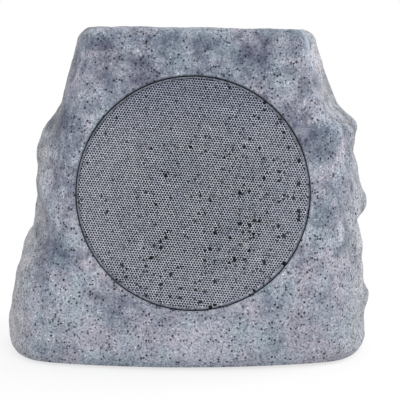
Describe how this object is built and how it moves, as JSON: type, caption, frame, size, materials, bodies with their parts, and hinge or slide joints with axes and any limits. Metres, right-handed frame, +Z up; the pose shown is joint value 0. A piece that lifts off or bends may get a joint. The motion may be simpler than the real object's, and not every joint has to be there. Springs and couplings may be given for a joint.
{
  "type": "rock shaped garden speaker",
  "caption": "Garden loudspeaker shaped as a granite rock: a hollow moulded shell with a leaning flat front, a round perforated grille and a coaxial driver behind it.",
  "frame": {"origin": "on the ground, under the middle of the rock", "axes": "+X to the right seen from the front, -Y out of the front face, +Z up"},
  "size_m": [0.357, 0.2622, 0.3192],
  "materials": {
    "rock": "speckled granite look, matt",
    "grille_paint": "perforated sheet in the same speckled paint",
    "black_rubber": "matt",
    "basket_paint": "black paint",
    "steel": "zinc plated",
    "foam": "foam",
    "cone_plastic": "satin polypropylene",
    "former_aluminium": "plain",
    "copper": "enamelled copper wire",
    "spider_cloth": "resin treated cotton",
    "ferrite": "sintered ferrite",
    "phenolic": "phenolic paper",
    "tin": "tinned brass",
    "black_plastic": "moulded, fine grain",
    "dome_film": "polyimide film",
    "board": "solder mask",
    "capacitor_film": "film wrap",
    "resistor_ceramic": "cement body",
    "block_plastic": "moulded",
    "woofer_wire": "twin lead",
    "tweeter_wire": "twin lead"
  },
  "bodies": {
    "enclosure": {"base_gasket": "black_rubber", "base_plate": "black_plastic", "base_screws": "steel", "board_screws": "steel", "capacitor": "capacitor_film", "crossover_board": "board", "driver_basket": "basket_paint", "driver_gasket": "black_rubber", "driver_screws": "steel", "foot_back_left": "black_rubber", "foot_back_right": "black_rubber", "foot_front_left": "black_rubber", "foot_front_right": "black_rubber", "gland_body": "black_plastic", "gland_cap": "black_plastic", "gland_locknut": "black_plastic", "gland_seal": "black_rubber", "gland_washer": "black_rubber", "grille": "grille_paint", "grille_seal": "black_rubber", "inductor": "copper", "magnet": "ferrite", "resistor": "resistor_ceramic", "rock_shell": "rock", "solder_tags": "tin", "spider": "spider_cloth", "surround": "black_rubber", "terminal_block": "block_plastic", "terminal_strip": "phenolic", "top_plate": "steel", "trim_ring": "foam", "tweeter_dome": "dome_film", "tweeter_face": "black_plastic", "tweeter_lead": "tweeter_wire", "tweeter_motor": "steel", "tweeter_pod": "black_plastic", "tweeter_post": "former_aluminium", "woofer_lead": "woofer_wire", "yoke": "steel"},
    "cone_assembly": {"cone": "cone_plastic", "voice_coil_former": "former_aluminium", "voice_coil": "copper"}
  },
  "joints": [
    {"name": "cone_travel", "type": "slide", "parent": "enclosure", "child": "cone_assembly", "axis": [0, -0.9914, 0.1305], "range_m": [-0.004, 0.004], "stiffness_N_per_m": 1250, "deforming": ["surround", "spider"]}
  ]
}
